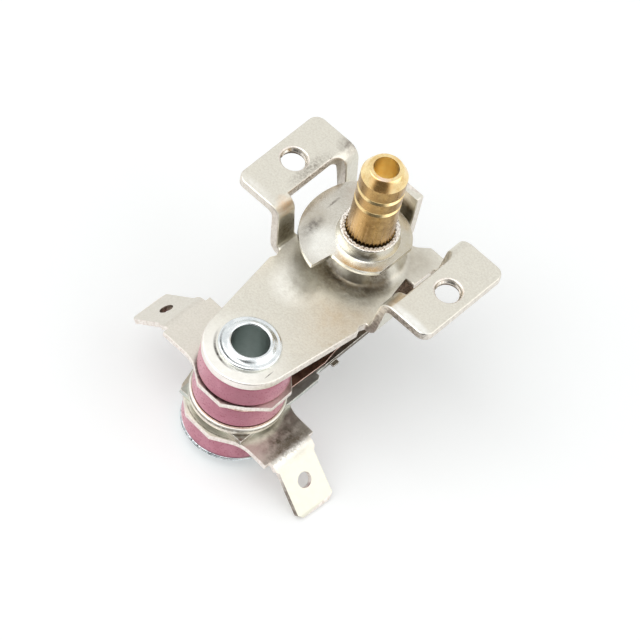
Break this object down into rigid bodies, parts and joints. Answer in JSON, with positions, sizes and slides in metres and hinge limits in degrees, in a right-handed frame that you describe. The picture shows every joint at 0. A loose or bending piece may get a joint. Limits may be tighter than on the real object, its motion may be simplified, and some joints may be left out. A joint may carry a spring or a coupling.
{
  "type": "oven thermostat",
  "caption": "Adjustable bimetal oven thermostat: stamped bracket with tapped ears, grooved brass setting shaft with stop disc, ceramic ring stack with push-on tabs.",
  "frame": {"origin": "on the shaft's axis, level with the mounting face of the two ears, midway between the tapped holes", "axes": "+Z along the shaft to the knob; +X from the ear above the upper tab to the other ear; -Y to the hollow rivet and its ceramic stack"},
  "size_m": [0.0345, 0.0371, 0.0387],
  "materials": {
    "nickel_plate": "nickel-plated sheet, satin",
    "turned_brass": "turned, bare",
    "zinc_plate": "zinc-plated, bright",
    "pink_ceramic": "fired, matt",
    "white_ceramic": "fired, matt",
    "leaf_alloy": "rolled spring strip",
    "contact_silver": "pressed silver alloy",
    "bimetal": "rolled bimetal, dull"
  },
  "bodies": {
    "frame": {"bracket": "nickel_plate", "hollow_rivet": "zinc_plate", "bottom_washer": "zinc_plate", "upper_ring": "pink_ceramic", "middle_ring": "pink_ceramic", "lower_ring": "pink_ceramic", "insulating_sleeve": "white_ceramic", "upper_terminal": "nickel_plate", "lower_terminal": "nickel_plate", "upper_leaf": "leaf_alloy", "lower_leaf": "leaf_alloy", "spacer_washer": "nickel_plate", "bimetal_strip": "bimetal"},
    "tip": {"push_tip": "white_ceramic"},
    "spindle": {"shaft": "turned_brass", "cam_disc": "nickel_plate"},
    "moving_contact": {"upper_contact": "contact_silver"},
    "pusher": {"pusher_pin": "white_ceramic"},
    "sprung_contact": {"lower_contact": "contact_silver"}
  },
  "joints": [
    {"name": "tip_travel", "type": "slide", "parent": "frame", "child": "tip", "axis": [0, 0, 1], "range_m": [-0.0000694, 0.0004722]},
    {"name": "shaft_turn", "type": "hinge", "parent": "tip", "child": "spindle", "pos_m": [0, 0, 0], "axis": [0, 0, 1], "range_deg": [-25, 170]},
    {"name": "upper_leaf_bend", "type": "hinge", "parent": "frame", "child": "moving_contact", "pos_m": [0, -0.0154, -0.01303], "axis": [1, 0, 0], "range_deg": [-0.3, 1.8], "deforming": ["upper_leaf"]},
    {"name": "bimetal_bend", "type": "hinge", "parent": "frame", "child": "pusher", "pos_m": [0, -0.0149, -0.0189], "axis": [-1, 0, 0], "range_deg": [0, 4], "stiffness_Nm_per_rad": 0.02, "deforming": ["bimetal_strip"]},
    {"name": "lower_leaf_bend", "type": "hinge", "parent": "frame", "child": "sprung_contact", "pos_m": [0, -0.0154, -0.01717], "axis": [-1, 0, 0], "range_deg": [0, 4.2], "deforming": ["lower_leaf"]}
  ],
  "couplings": [
    {"joint": "shaft_turn", "follows": "tip_travel", "rad_per_m": 6283.2},
    {"joint": "upper_leaf_bend", "follows": "tip_travel", "rad_per_m": 64.94},
    {"joint": "lower_leaf_bend", "follows": "bimetal_bend", "ratio": 0.968}
  ]
}
